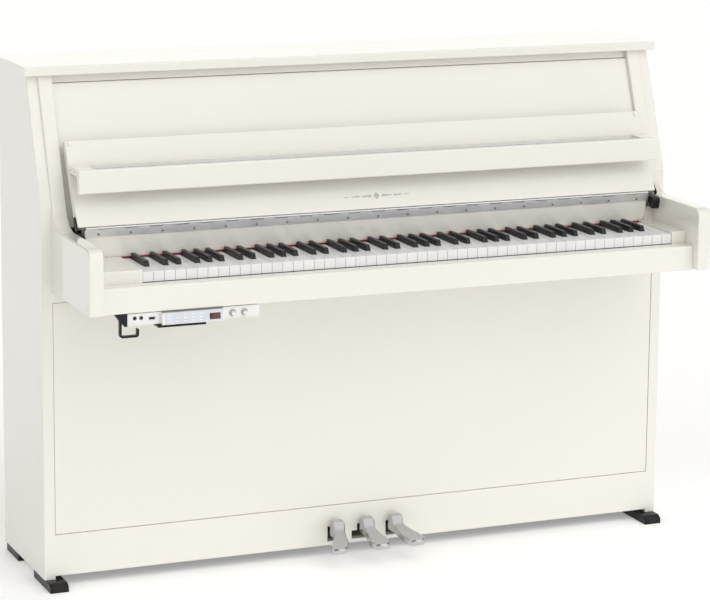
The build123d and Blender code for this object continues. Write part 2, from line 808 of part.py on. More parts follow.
# ---------------------------------------------------------------- pedals
def make_pedals():
    pivot_y, pivot_z = PEDAL_PIVOT
    pin_r = 4.0
    boss_r = 10.0
    lever = [(-36.0, 50.0), (-36.0, 64.0), (pivot_y, 72.0), (pivot_y, 56.0), (-20.0, 50.0)]
    bracket = [(46.0, 46.0), (46.0, 72.0), (74.0, 72.0), (74.0, 46.0)]
    for name, x in PEDAL_XS.items():
        splay = PEDAL_SPLAY[name]
        with BuildPart() as tongue:
            with BuildSketch(Plane.YZ.offset(x - 70.0)):
                with BuildLine():
                    FilletPolyline(
                        (-34.0, 50.0),
                        (-34.0, 89.0),
                        (-56.0, 87.0),
                        (-64.0, 71.0),
                        (-132.0, 50.0),
                        (-132.0, 35.0),
                        (-112.0, 35.0),
                        (-60.0, 50.0),
                        radius=[0.0, 4.0, 5.0, 8.0, 2.0, 2.0, 30.0, 20.0],
                        close=True,
                    )
                make_face()
            extrude(amount=140.0)
            with BuildSketch(Plane.XY.offset(20.0)):
                with BuildLine():
                    left_side = Polyline((x - 13, -34), (x - 13, -62), (x + splay - 21, -112))
                    tip = ThreePointArc(left_side @ 1, (x + splay, -132), (x + splay + 21, -112))
                    Polyline(tip @ 1, (x + 13, -62), (x + 13, -34), left_side @ 0)
                make_face()
            extrude(amount=90.0, mode=Mode.INTERSECT)
        with BuildPart() as pedal:
            add(tongue.part)
            side_extrusion(lever, x - 8, x + 8)
            x_cylinder(pivot_y, pivot_z, boss_r, x - 8, x + 8)
            x_cylinder(pivot_y, pivot_z, pin_r + BORE_CLEARANCE, x - 9, x + 9, Mode.SUBTRACT)
        write(pedal, name)

    with BuildPart() as pedal_brackets:
        for x in PEDAL_XS.values():
            for side in (-1, 1):
                inner, outer = sorted((x + side * 8.6, x + side * 11.6))
                side_extrusion(bracket, inner, outer, [0, 6, 6, 0])
            x_cylinder(pivot_y, pivot_z, pin_r, x - 14.0, x + 14.0)
            block((x - 22.0, 46.0, 46.0), (x - 8.6, 74.0, 49.0))
            block((x + 8.6, 46.0, 46.0), (x + 22.0, 74.0, 49.0))
    write(pedal_brackets, "pedal_brackets")


# ---------------------------------------------------------------- headphone control unit
UNIT_FRONT = -262.0
UNIT_LOW, UNIT_HIGH = 615.0, 639.5
JACK_XS = (-608.5, -594.7)
JACK_Z = 630.0
JACK_R = 1.8
JACK_DEPTH = 14.0
KNOB_XS = {"volume_knob": -397.0, "tone_knob": -371.0}
KNOB_Z = 626.0
KNOB_SHAFT_R = 2.0


def make_control_unit():
    with BuildPart() as control_panel:
        block((-624.0, UNIT_FRONT, UNIT_LOW), (-338.0, -150.0, UNIT_HIGH))
        fillet(control_panel.edges().filter_by(Axis.Y), 1.5)
        for x in (-600.0, -360.0):
            block((x - 12.0, -235.0, UNIT_HIGH - 0.1), (x + 12.0, -160.0, BED_BOTTOM))
        jacks = [(x, JACK_Z) for x in JACK_XS]
        y_bars(jacks, JACK_R, UNIT_FRONT - 1, UNIT_FRONT + JACK_DEPTH, Mode.SUBTRACT)
        block((-578.0, UNIT_FRONT - 1, 625.0), (-565.0, UNIT_FRONT + 10, 630.4), Mode.SUBTRACT)
        shafts = [(x, KNOB_Z) for x in KNOB_XS.values()]
        y_bars(shafts, KNOB_SHAFT_R + BORE_CLEARANCE, UNIT_FRONT - 1, UNIT_FRONT + 12, Mode.SUBTRACT)
    write(control_panel, "control_panel")

    with BuildPart() as touch_unit:
        side_extrusion(
            [(UNIT_FRONT, 613.0), (UNIT_FRONT, 638.6), (-269.5, 638.0), (-271.5, 613.0)],
            -552.0,
            -420.0,
            [0.0, 0.0, 1.5, 1.5],
        )
    write(touch_unit, "touch_unit")

    for name, x in KNOB_XS.items():
        with BuildPart() as knob:
            y_bars([(x, KNOB_Z)], 6.0, UNIT_FRONT - 9.5, UNIT_FRONT - 0.5)
            fillet(knob.edges().filter_by(GeomType.CIRCLE).sort_by(Axis.Y)[0], 1.2)
            y_bars([(x, KNOB_Z)], KNOB_SHAFT_R, UNIT_FRONT - 1, UNIT_FRONT + 11)
        write(knob, name)


def make_headphone_hook():
    """Flat steel hook under a gusset, and the black tray that carries the touch unit."""
    hook_y = -250.0
    strap_width = 9.0
    strap_half = 2.2
    gusset = [(-652.0, 641.3), (-625.0, 641.3), (-625.0, 614.0), (-630.0, 614.0), (-645.0, 632.0)]
    bends = [(-637.0, 630.0), (-637.0, 591.5), (-600.0, 591.5), (-600.0, 605.0)]
    with BuildPart() as headphone_hook:
        with BuildSketch(Plane.XZ.offset(-hook_y)):
            with BuildLine():
                Polyline(*gusset, close=True)
            make_face()
        extrude(amount=14.0)
        with BuildSketch(Plane.XZ.offset(-hook_y - 1)):
            with BuildLine():
                strap = FilletPolyline(*bends, radius=4.5)
                offset(strap, amount=strap_half)
            make_face()
        extrude(amount=strap_width)
    with BuildPart() as tray:
        block((-560.0, -269.0, 608.0), (-457.0, -200.0, 612.8))
        block((-560.0, -200.0, 608.0), (-457.0, -190.0, UNIT_LOW))
    with BuildPart() as hook_and_tray:
        add(headphone_hook.part)
        add(tray.part)
    write(hook_and_tray, "headphone_hook")


make_lid()
make_lid_hinge()
make_sides()
make_arms()
make_panels()
make_toe_rail()
make_floor_parts()
make_key_bed()
make_name_board()
make_felt_linings()
make_fall_hinges()
make_leaf()
make_dampers()
make_shelf()
make_keys()
make_key_frame()
make_action()
make_back()
make_pedals()
make_control_unit()
make_headphone_hook()
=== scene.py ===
"""Looks of the upright piano. Everything is in metres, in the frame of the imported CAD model."""

from math import cos, pi, radians, sin, tan

import bmesh
import bpy
from mathutils import Matrix, Vector


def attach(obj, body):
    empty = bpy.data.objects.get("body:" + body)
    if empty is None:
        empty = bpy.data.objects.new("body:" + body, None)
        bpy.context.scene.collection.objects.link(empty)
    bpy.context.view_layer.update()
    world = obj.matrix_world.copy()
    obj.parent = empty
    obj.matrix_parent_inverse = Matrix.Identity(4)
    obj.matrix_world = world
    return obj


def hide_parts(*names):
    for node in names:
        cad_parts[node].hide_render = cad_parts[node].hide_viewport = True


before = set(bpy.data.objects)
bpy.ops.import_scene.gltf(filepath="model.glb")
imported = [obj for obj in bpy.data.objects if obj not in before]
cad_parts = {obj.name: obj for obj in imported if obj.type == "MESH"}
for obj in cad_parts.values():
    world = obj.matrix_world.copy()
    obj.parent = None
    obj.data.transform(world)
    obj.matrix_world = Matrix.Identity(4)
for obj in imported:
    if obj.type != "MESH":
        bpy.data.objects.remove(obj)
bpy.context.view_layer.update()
MM = 0.001


# ---------------------------------------------------------------- camera, floor and light
CAMERA_PLACE = (-2.327, -5.528, 1.849)
CAMERA_YAW = radians(22.69)
CAMERA_PITCH = radians(10.59)
CAMERA_ROLL = radians(0.50)
CAMERA_LENS = 141.1
CAMERA_SHIFT = -0.0986


def make_camera():
    """The photograph's viewpoint: from the front left, a little above the keyboard."""
    camera = bpy.data.objects.new("camera", bpy.data.cameras.new("camera"))
    camera.data.sensor_width = 36.0
    camera.data.lens = CAMERA_LENS
    camera.data.shift_y = CAMERA_SHIFT
    camera.data.clip_end = 200.0
    turn = Matrix.Rotation(-CAMERA_YAW, 4, "Z")
    turn = turn @ Matrix.Rotation(pi / 2 - CAMERA_PITCH, 4, "X")
    turn = turn @ Matrix.Rotation(CAMERA_ROLL, 4, "Z")
    camera.matrix_world = Matrix.Translation(Vector(CAMERA_PLACE)) @ turn
    bpy.context.scene.collection.objects.link(camera)
    bpy.context.scene.camera = camera


def make_sun(name, strength, softness, azimuth, elevation, colour):
    """A broad soft light from far away. Azimuth 0 is in front of the keyboard and 90 on its right."""
    sun = bpy.data.objects.new(name, bpy.data.lights.new(name, "SUN"))
    sun.data.energy = strength
    sun.data.angle = radians(softness)
    sun.data.color = colour
    a, e = radians(azimuth), radians(elevation)
    toward = Vector((sin(a) * cos(e), -cos(a) * cos(e), sin(e)))
    sun.rotation_mode = "QUATERNION"
    sun.rotation_quaternion = toward.to_track_quat("Z", "Y")
    bpy.context.scene.collection.objects.link(sun)


# The room's even light, and for each glow its direction, the cosines between which it comes up,
# and its strength
WORLD_BASE = 0.12
WORLD_GLOWS = (
    ((0.0, 0.0, 1.0), 0.2, 1.0, 0.15),
    ((0.40, 0.90, 0.20), 0.70, 0.95, 1.0),
)


def make_world():
    """A dim warm room with a brighter ceiling, and behind the piano a white wall that its lid mirrors."""
    world = bpy.data.worlds.new("studio")
    bpy.context.scene.world = world
    world.use_nodes = True
    nodes, links = world.node_tree.nodes, world.node_tree.links
    direction = nodes.new("ShaderNodeTexCoord").outputs["Generated"]
    strength = WORLD_BASE
    for toward, start, end, share in WORLD_GLOWS:
        facing = nodes.new("ShaderNodeVectorMath")
        facing.operation = "DOT_PRODUCT"
        facing.inputs[1].default_value = Vector(toward).normalized()
        links.new(direction, facing.inputs[0])
        glow = nodes.new("ShaderNodeMapRange")
        glow.interpolation_type = "SMOOTHSTEP"
        for socket, value in (("From Min", start), ("From Max", end), ("To Max", share)):
            glow.inputs[socket].default_value = value
        links.new(facing.outputs["Value"], glow.inputs["Value"])
        total = nodes.new("ShaderNodeMath")
        total.operation = "ADD"
        links.new(glow.outputs["Result"], total.inputs[0])
        if isinstance(strength, float):
            total.inputs[1].default_value = strength
        else:
            links.new(strength, total.inputs[1])
        strength = total.outputs["Value"]
    links.new(strength, nodes["Background"].inputs["Strength"])
    nodes["Background"].inputs["Color"].default_value = (1.0, 0.985, 0.95, 1.0)


make_camera()
make_world()
make_sun("front_light", 1.66, 80.0, 24.0, 28.0, (1.0, 0.995, 0.98))
make_sun("top_light", 0.55, 70.0, 150.0, 84.0, (1.0, 1.0, 1.0))
make_sun("left_light", 0.55, 50.0, -62.0, 34.0, (1.0, 0.985, 0.94))
bpy.context.scene.view_settings.view_transform = "Standard"


# ---------------------------------------------------------------- materials
class Finish:
    """A principled material under construction. Sizes are metres in the CAD frame."""

    def __init__(self, name, settings):
        self.material = bpy.data.materials.new(name)
        self.material.use_nodes = True
        self.nodes = self.material.node_tree.nodes
        self.links = self.material.node_tree.links
        self.shader = self.nodes["Principled BSDF"]
        for socket, value in settings.items():
            self.shader.inputs[socket].default_value = value

    def add(self, kind, inputs, **attributes):
        """A node with its attributes set; an input is a value or another node's output."""
        node = self.nodes.new(kind)
        for key, value in attributes.items():
            setattr(node, key, value)
        for socket, value in inputs.items():
            if isinstance(value, bpy.types.NodeSocket):
                self.links.new(value, node.inputs[socket])
            elif value is not None:
                node.inputs[socket].default_value = value
        return node

    def feed(self, socket, output):
        self.links.new(output, self.shader.inputs[socket])

    def place(self, stretch=(1.0, 1.0, 1.0), turn=(0.0, 0.0, 0.0)):
        """Object coordinates, scaled along each axis."""
        coordinates = self.add("ShaderNodeTexCoord", {})
        inputs = {"Vector": coordinates.outputs["Object"], "Scale": stretch, "Rotation": turn}
        return self.add("ShaderNodeMapping", inputs).outputs["Vector"]

    def axis(self, name):
        """One object coordinate, X, Y or Z."""
        return self.add("ShaderNodeSeparateXYZ", {"Vector": self.place()}).outputs[name]

    def noise(
        self, scale, detail=2.0, rough=0.5, stretch=(1.0, 1.0, 1.0), distortion=0.0, turn=(0.0, 0.0, 0.0)
    ):
        """Fractal noise, 0 to 1; a small stretch draws it out along that axis."""
        inputs = {
            "Vector": self.place(stretch, turn),
            "Scale": scale,
            "Detail": detail,
            "Roughness": rough,
            "Distortion": distortion,
        }
        return self.add("ShaderNodeTexNoise", inputs).outputs["Fac"]

    def span(self, value, low, high, from_low=0.3, from_high=0.7):
        """A value carried from one range to another."""
        inputs = {"Value": value, "From Min": from_low, "From Max": from_high, "To Min": low, "To Max": high}
        return self.add("ShaderNodeMapRange", inputs).outputs["Result"]

    def mix(self, factor, first, second):
        """The first colour where the factor is 0, the second where it is 1."""
        node = self.add("ShaderNodeMix", {"Factor": factor}, data_type="RGBA")
        for key, value in (("A", first), ("B", second)):
            socket = next(s for s in node.inputs if s.name == key and s.type == "RGBA")
            if isinstance(value, bpy.types.NodeSocket):
                self.links.new(value, socket)
            else:
                socket.default_value = value
        return next(s for s in node.outputs if s.type == "RGBA")

    def math(self, operation, first, second=0.5):
        node = self.add("ShaderNodeMath", {}, operation=operation)
        for index, value in enumerate((first, second)):
            if isinstance(value, bpy.types.NodeSocket):
                self.links.new(value, node.inputs[index])
            else:
                node.inputs[index].default_value = value
        return node.outputs["Value"]

    def bump(self, height, depth, below=None):
        """Surface relief of that depth, on top of the relief below it."""
        inputs = {"Height": height, "Distance": depth, "Normal": below}
        return self.add("ShaderNodeBump", inputs).outputs["Normal"]


def colour(red, green, blue):
    return (red, green, blue, 1.0)


def lacquer():
    """Polished ivory polyester: a slow drift in tone, a faint orange peel and some wiping haze."""
    settings = {"Coat Weight": 1.0, "Coat Roughness": 0.03, "Coat IOR": 1.5, "Specular IOR Level": 0.2}
    f = Finish("case_lacquer", settings)
    drift = f.span(f.noise(1.6, 2.0), 0.0, 1.0)
    f.feed("Base Color", f.mix(drift, colour(0.862, 0.845, 0.786), colour(0.884, 0.868, 0.812)))
    haze = f.noise(7.0, 5.0, 0.6)
    f.feed("Roughness", f.span(haze, 0.14, 0.24))
    f.feed("Normal", f.bump(f.noise(9.0, 1.0), 0.00004, f.bump(f.noise(120.0, 0.0), 0.000002)))
    return f.material


def moulded_white():
    """Satin white injection moulding with a fine spark-eroded texture."""
    f = Finish("panel_white", {"Coat Weight": 0.25, "Coat Roughness": 0.2})
    mottle = f.span(f.noise(60.0, 3.0), 0.0, 1.0)
    f.feed("Base Color", f.mix(mottle, colour(0.84, 0.835, 0.82), colour(0.88, 0.875, 0.865)))
    f.feed("Roughness", f.span(f.noise(900.0, 2.0), 0.34, 0.46))
    f.feed("Normal", f.bump(f.noise(2600.0, 2.0), 0.00002))
    return f.material


WHITE_PITCH = 23.55 * MM
KEYS_LEFT = -580.3 * MM


def key_tone(f):
    """A different small number for each white key's width along the keyboard."""
    steps = f.math("DIVIDE", f.math("SUBTRACT", f.axis("X"), KEYS_LEFT), WHITE_PITCH)
    tone = f.add("ShaderNodeTexWhiteNoise", {"W": f.math("FLOOR", steps)}, noise_dimensions="1D")
    return tone.outputs["Value"]


def white_key_resin():
    """Cast white key tops, each a shade apart from its neighbours, polished by playing."""
    f = Finish("white_key_resin", {"Coat Weight": 0.2, "Coat Roughness": 0.12, "Specular IOR Level": 0.3})
    f.feed("Base Color", f.mix(key_tone(f), colour(0.865, 0.868, 0.875), colour(0.90, 0.90, 0.905)))
    f.feed("Roughness", f.span(f.noise(60.0, 3.0), 0.34, 0.42))
    f.feed("Normal", f.bump(f.noise(900.0, 2.0), 0.000001))
    return f.material


def black_key_resin():
    """Charcoal sharps, sanded lengthwise to a satin."""
    f = Finish("black_key_resin", {"Specular IOR Level": 0.3})
    streak = f.noise(1500.0, 3.0, 0.6, (1.0, 0.06, 1.0))
    dark, light = colour(0.012, 0.012, 0.014), colour(0.026, 0.026, 0.029)
    f.feed("Base Color", f.mix(f.span(streak, 0.0, 1.0), dark, light))
    f.feed("Roughness", f.span(f.noise(240.0, 3.0), 0.30, 0.42))
    f.feed("Normal", f.bump(streak, 0.00003))
    return f.material


def brushed_metal(name, dark, light, rough, stretch, scale=1800.0, depth=0.000012):
    """Metal with fine lines along the axis whose stretch is small."""
    f = Finish(name, {"Metallic": 1.0})
    lines = f.noise(scale, 4.0, 0.65, stretch)
    cloud = f.noise(18.0, 3.0)
    f.feed("Base Color", f.mix(f.span(lines, 0.0, 1.0), dark, light))
    f.feed("Roughness", f.span(cloud, rough - 0.05, rough + 0.06))
    f.feed("Normal", f.bump(lines, depth))
    return f.material


def bright_plate(name, base, rough):
    """Bright plating with a trace of handling haze."""
    f = Finish(name, {"Metallic": 1.0})
    haze = f.noise(45.0, 5.0, 0.6)
    hazed = colour(*(min(1.0, channel * 1.06) for channel in base[:3]))
    f.feed("Base Color", f.mix(f.span(haze, 0.0, 1.0), base, hazed))
    f.feed("Roughness", f.span(haze, rough, rough + 0.06))
    f.feed("Normal", f.bump(f.noise(160.0, 1.0), 0.00001))
    return f.material


def black_moulding():
    """Satin black plastic with a fine leather-like grain and pale dust in it."""
    f = Finish("black_plastic", {"Specular IOR Level": 0.25})
    cells = f.add("ShaderNodeTexVoronoi", {"Vector": f.place(), "Scale": 900.0}, feature="SMOOTH_F1")
    dust = f.span(f.noise(35.0, 5.0, 0.65), 0.0, 1.0, 0.45, 0.8)
    f.feed("Base Color", f.mix(dust, colour(0.010, 0.010, 0.011), colour(0.026, 0.026, 0.027)))
    f.feed("Roughness", f.span(dust, 0.32, 0.5, 0.0, 1.0))
    f.feed("Normal", f.bump(cells.outputs["Distance"], 0.00005))
    return f.material


def powder_coat():
    """Black powder coat with its small pebbled relief."""
    f = Finish("black_steel", {"Specular IOR Level": 0.2})
    pebble = f.noise(1400.0, 2.0, 0.5)
    dark, light = colour(0.008, 0.009, 0.010), colour(0.024, 0.026, 0.03)
    f.feed("Base Color", f.mix(f.span(pebble, 0.0, 1.0), dark, light))
    f.feed("Roughness", f.span(pebble, 0.26, 0.4))
    f.feed("Normal", f.bump(pebble, 0.00006))
    return f.material


def felt(name, dark, light):
    """Pressed wool felt: matted fibres over a cloudy ground."""
    settings = {"Roughness": 0.95, "Sheen Weight": 0.35, "Sheen Roughness": 0.5, "Specular IOR Level": 0.1}
    f = Finish(name, settings)
    fibres = f.noise(2200.0, 6.0, 0.75, (1.0, 0.4, 1.0), 1.5)
    clouds = f.noise(90.0, 3.0)
    blend = f.math("MULTIPLY", f.math("ADD", fibres, clouds), 0.5)
    f.feed("Base Color", f.mix(f.span(blend, 0.0, 1.0, 0.35, 0.65), dark, light))
    f.feed("Normal", f.bump(fibres, 0.00035))
    return f.material


def bronze_plate():
    """Cast iron under bronze paint, rough as cast, with metal flake in the paint."""
    f = Finish("plate_bronze", {"Metallic": 0.75})
    cast = f.noise(140.0, 5.0, 0.6)
    flake = f.add("ShaderNodeTexVoronoi", {"Vector": f.place(), "Scale": 2600.0}).outputs["Distance"]
    tone = f.math("MULTIPLY", f.math("ADD", cast, flake), 0.6)
    f.feed("Base Color", f.mix(f.span(tone, 0.0, 1.0), colour(0.36, 0.24, 0.09), colour(0.66, 0.50, 0.24)))
    f.feed("Roughness", f.span(flake, 0.30, 0.5, 0.1, 0.7))
    f.feed("Normal", f.bump(cast, 0.0004))
    return f.material


def string_wire():
    """Plain steel wire, copper-wound in the bass, with the winding's turns in relief."""
    f = Finish("string_steel", {"Metallic": 1.0})
    bass = f.add(
        "ShaderNodeMapRange", {"Value": f.axis("X"), "From Min": -0.252, "From Max": -0.250}
    ).outputs["Result"]
    f.feed("Base Color", f.mix(bass, colour(0.60, 0.27, 0.13), colour(0.60, 0.59, 0.57)))
    turns = f.add(
        "ShaderNodeTexWave", {"Vector": f.place(), "Scale": 320.0}, wave_type="BANDS", bands_direction="Z"
    ).outputs["Fac"]
    f.feed("Roughness", f.span(f.noise(60.0, 3.0), 0.22, 0.36))
    f.feed("Normal", f.bump(turns, 0.0001))
    return f.material


def timber(name, pale, deep, along, ring_scale=9.0, rough=0.4, turn=(0.0, 0.0, 0.0)):
    """Planed timber: growth rings drawn out along the grain, with pores and a slow drift in tone."""
    f = Finish(name, {"Coat Weight": 0.15, "Coat Roughness": 0.3})
    stretch = [1.0, 1.0, 1.0]
    stretch["XYZ".index(along)] = 0.045
    warp = f.noise(ring_scale, 3.0, 0.55, stretch, 0.6, turn)
    rings = f.math("FRACT", f.math("MULTIPLY", warp, 14.0), 0.0)
    pores = f.noise(620.0, 4.0, 0.7, stretch, 0.0, turn)
    late = f.math("POWER", rings, 2.5)
    ground = f.mix(f.math("MULTIPLY", late, 0.75), pale, deep)
    f.feed("Base Color", f.mix(f.span(pores, 0.0, 0.45, 0.5, 0.75), ground, deep))
    f.feed("Roughness", f.span(pores, rough, rough + 0.18))
    f.feed("Normal", f.bump(pores, 0.00012, f.bump(late, 0.00008)))
    return f.material


FINISHES = {
    "case_lacquer": lacquer(),
    "panel_white": moulded_white(),
    "white_key_resin": white_key_resin(),
    "black_key_resin": black_key_resin(),
    "hinge_metal": brushed_metal(
        "hinge_metal", colour(0.62, 0.63, 0.64), colour(0.78, 0.79, 0.80), 0.42, (0.03, 1.0, 1.0)
    ),
    "screw_steel": brushed_metal(
        "screw_steel", colour(0.24, 0.24, 0.25), colour(0.38, 0.38, 0.39), 0.34, (1.0, 1.0, 1.0)
    ),
    "pedal_nickel": bright_plate("pedal_nickel", colour(0.53, 0.53, 0.54), 0.20),
    "black_plastic": black_moulding(),
    "black_steel": powder_coat(),
    "grey_felt": felt("grey_felt", colour(0.44, 0.45, 0.50), colour(0.66, 0.67, 0.72)),
    "red_felt": felt("red_felt", colour(0.28, 0.012, 0.018), colour(0.46, 0.03, 0.04)),
    "white_felt": felt("white_felt", colour(0.70, 0.68, 0.61), colour(0.85, 0.83, 0.77)),
    "plate_bronze": bronze_plate(),
    "string_steel": string_wire(),
    "bare_wood": timber("bare_wood", colour(0.60, 0.43, 0.25), colour(0.40, 0.25, 0.12), "Z"),
    "spruce": timber(
        "spruce", colour(0.72, 0.55, 0.33), colour(0.55, 0.37, 0.18), "Z", 26.0, 0.36, (0.0, 0.7, 0.0)
    ),
}


def satin_nickel():
    """The pedals' brushed necks and treads, worn a little brighter in patches."""
    f = Finish("satin_nickel", {"Metallic": 0.45, "Specular IOR Level": 0.3})
    lines = f.noise(1600.0, 4.0, 0.65, (1.0, 0.05, 0.2))
    wear = f.noise(55.0, 4.0, 0.6)
    ground = f.mix(f.span(lines, 0.0, 1.0), colour(0.52, 0.52, 0.53), colour(0.58, 0.58, 0.59))
    f.feed("Base Color", f.mix(f.span(wear, 0.0, 0.4, 0.5, 0.8), ground, colour(0.66, 0.66, 0.66)))
    f.feed("Roughness", f.span(wear, 0.50, 0.60))
    f.feed("Normal", f.bump(lines, 0.00001))
    return f.material


def shaded_plastic(name, dark, light, rough, coat=0.0):
    """Smooth plastic or glass whose tone drifts a little over its face."""
    f = Finish(name, {"Coat Weight": coat, "Coat Roughness": 0.04})
    drift = f.noise(38.0, 3.0)
    f.feed("Base Color", f.mix(f.span(drift, 0.0, 1.0), dark, light))
    f.feed("Roughness", f.span(f.noise(420.0, 2.0), rough, rough + 0.08))
    f.feed("Normal", f.bump(f.noise(900.0, 2.0), 0.000006))
    return f.material


def lamp(name, dark, light, strength):
    """A lit mark behind plastic, a shade uneven as such lamps are."""
    f = Finish(name, {"Roughness": 0.3, "Emission Color": light, "Emission Strength": strength})
    f.feed("Base Color", f.mix(f.span(f.noise(500.0, 2.0), 0.0, 1.0), dark, light))
    return f.material


SATIN = satin_nickel()
SCREEN = shaded_plastic("screen_glass", colour(0.66, 0.70, 0.77), colour(0.72, 0.755, 0.82), 0.14, 0.5)
# Grey plastic for the touch unit's cap, the panel joints and the knobs' pointer lines, and for a ring at each
# knob's foot that is painted shadow.
CAP_GREY = shaded_plastic("cap_grey", colour(0.30, 0.30, 0.29), colour(0.38, 0.38, 0.37), 0.34)
SMOKED = shaded_plastic("smoked_window", colour(0.010, 0.009, 0.009), colour(0.020, 0.018, 0.018), 0.10, 0.6)
# Dark grey for the hinge screws' cross slots, which is painted shade of the recesses, and for the shelf
# screws' small heads.
SLOT_SHADE_AND_DARK_HEADS = shaded_plastic("slot_shade_and_dark_heads", colour(0.05, 0.05, 0.052), colour(0.10, 0.10, 0.105), 0.4)
DIGIT_RED = lamp("digit_red", colour(0.35, 0.02, 0.01), colour(0.65, 0.05, 0.02), 0.4)
MARK_ORANGE = lamp("mark_orange", colour(0.80, 0.40, 0.25), colour(0.95, 0.50, 0.32), 0.35)
MARK_WHITE = lamp("mark_white", colour(0.80, 0.82, 0.86), colour(0.90, 0.92, 0.96), 0.2)
INLAY = brushed_metal(
    "inlay_silver", colour(0.34, 0.34, 0.35), colour(0.46, 0.46, 0.47), 0.4, (0.03, 1.0, 1.0)
)
# Darker grey for the knobs' skirts and waists: painted shade on their sides.
KNOB_SIDE_PAINTED_SHADE = shaded_plastic("knob_side_painted_shade", colour(0.44, 0.43, 0.41), colour(0.52, 0.51, 0.49), 0.4)
PALE_BOARD = timber("sealed_board", colour(0.76, 0.75, 0.69), colour(0.66, 0.65, 0.59), "X")
STAINED = timber("bottom_stain", colour(0.035, 0.028, 0.022), colour(0.016, 0.012, 0.010), "X")
CROSS_GRAIN = timber("bare_wood_cross", colour(0.58, 0.42, 0.24), colour(0.38, 0.24, 0.12), "X")
OTHER_TIMBERS = {"key_bed": PALE_BOARD, "key_frame": CROSS_GRAIN, "bottom_board": STAINED}


def dress_nodes():
    """Every CAD node gets the finish of its slot in the record."""
    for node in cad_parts.values():
        for material_slot in node.material_slots:
            name = material_slot.material.name.split(".")[0]
            material_slot.material = FINISHES.get(name, material_slot.material)
            if name == "bare_wood":
                material_slot.material = OTHER_TIMBERS.get(node.name, FINISHES[name])


dress_nodes()

# ---------------------------------------------------------------- mesh helpers, in millimetres
CREASE = radians(32.0)


def add_slab(bm, outline, axis, low, high, finish=0):
    """A closed outline carried along one axis; its points are the other two coordinates in order."""
    index = "XYZ".index(axis)
    rings = []
    for level in (low, high):
        ring = []
        for point in outline:
            place = list(point)
            place.insert(index, level)
            ring.append(bm.verts.new(place))
        rings.append(ring)
    faces = [bm.faces.new(rings[0]), bm.faces.new(rings[1])]
    for i in range(len(outline)):
        j = (i + 1) % len(outline)
        faces.append(bm.faces.new((rings[0][i], rings[0][j], rings[1][j], rings[1][i])))
    for face in faces:
        face.material_index = finish


def add_turned(bm, profile, centre, axis, steps=40, finish=0):
    """A turned form: (along, radius) points revolved about an axis through the centre."""
    index = "XYZ".index(axis)
    across = [i for i in range(3) if i != index]
    rings = []
    for along, radius in profile:
        ring = []
        for step in range(steps):
            angle = 2 * pi * step / steps
            place = list(centre)
            place[index] += along
            place[across[0]] += radius * cos(angle)
            place[across[1]] += radius * sin(angle)
            ring.append(bm.verts.new(place))
        rings.append(ring)
    faces = [bm.faces.new(rings[0]), bm.faces.new(rings[-1])]
    for lower, upper in zip(rings, rings[1:]):
        for i in range(steps):
            j = (i + 1) % steps
            faces.append(bm.faces.new((lower[i], lower[j], upper[j], upper[i])))
    for face in faces:
        face.material_index = finish


def add_rings(bm, rings, finishes):
    """A skin over equal rings of points, closed at both ends; finishes(row, column) is a face's finish."""
    rows = [[bm.verts.new(point) for point in ring] for ring in rings]
    bm.faces.new(rows[0])
    bm.faces.new(rows[-1])
    count = len(rings[0])
    for row, (lower, upper) in enumerate(zip(rows, rows[1:])):
        for i in range(count):
            j = (i + 1) % count
            face = bm.faces.new((lower[i], lower[j], upper[j], upper[i]))
            face.material_index = finishes(row, i)


def rounded_box(x_low, x_high, z_low, z_high, radius, steps=4):
    """(x, z) outline of a rectangle with round corners."""
    points = []
    corners = (
        (x_high - radius, z_high - radius, 0.0),
        (x_low + radius, z_high - radius, pi / 2),
        (x_low + radius, z_low + radius, pi),
        (x_high - radius, z_low + radius, 3 * pi / 2),
    )
    for x, z, start in corners:
        for step in range(steps + 1):
            angle = start + pi / 2 * step / steps
            points.append((x + radius * cos(angle), z + radius * sin(angle)))
    return points


def piece(name, bm, finishes, body, edge=0.0):
    """A finished object from a mesh in millimetres, riding on a body; edge rounds its sharp edges."""
    bmesh.ops.scale(bm, vec=(MM, MM, MM), verts=bm.verts)
    bmesh.ops.recalc_face_normals(bm, faces=bm.faces)
    mesh = bpy.data.meshes.new(name)
    bm.to_mesh(mesh)
    bm.free()
    for finish in finishes:
        mesh.materials.append(finish)
    obj = bpy.data.objects.new(name, mesh)
    bpy.context.scene.collection.objects.link(obj)
    mesh.shade_smooth()
    mesh.set_sharp_from_angle(angle=CREASE)
    if edge:
        bevel = obj.modifiers.new("edge", "BEVEL")
        bevel.width = edge * MM
        bevel.segments = 3
        bevel.limit_method = "ANGLE"
        bevel.angle_limit = CREASE
        bevel.harden_normals = True
    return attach(obj, body)


# ---------------------------------------------------------------- pedals
PEDAL_PIVOT = (60.0, 64.0)
PEDALS = {"left_pedal": (-71.0, -20.0), "middle_pedal": (0.0, 4.0), "right_pedal": (69.0, 17.0)}

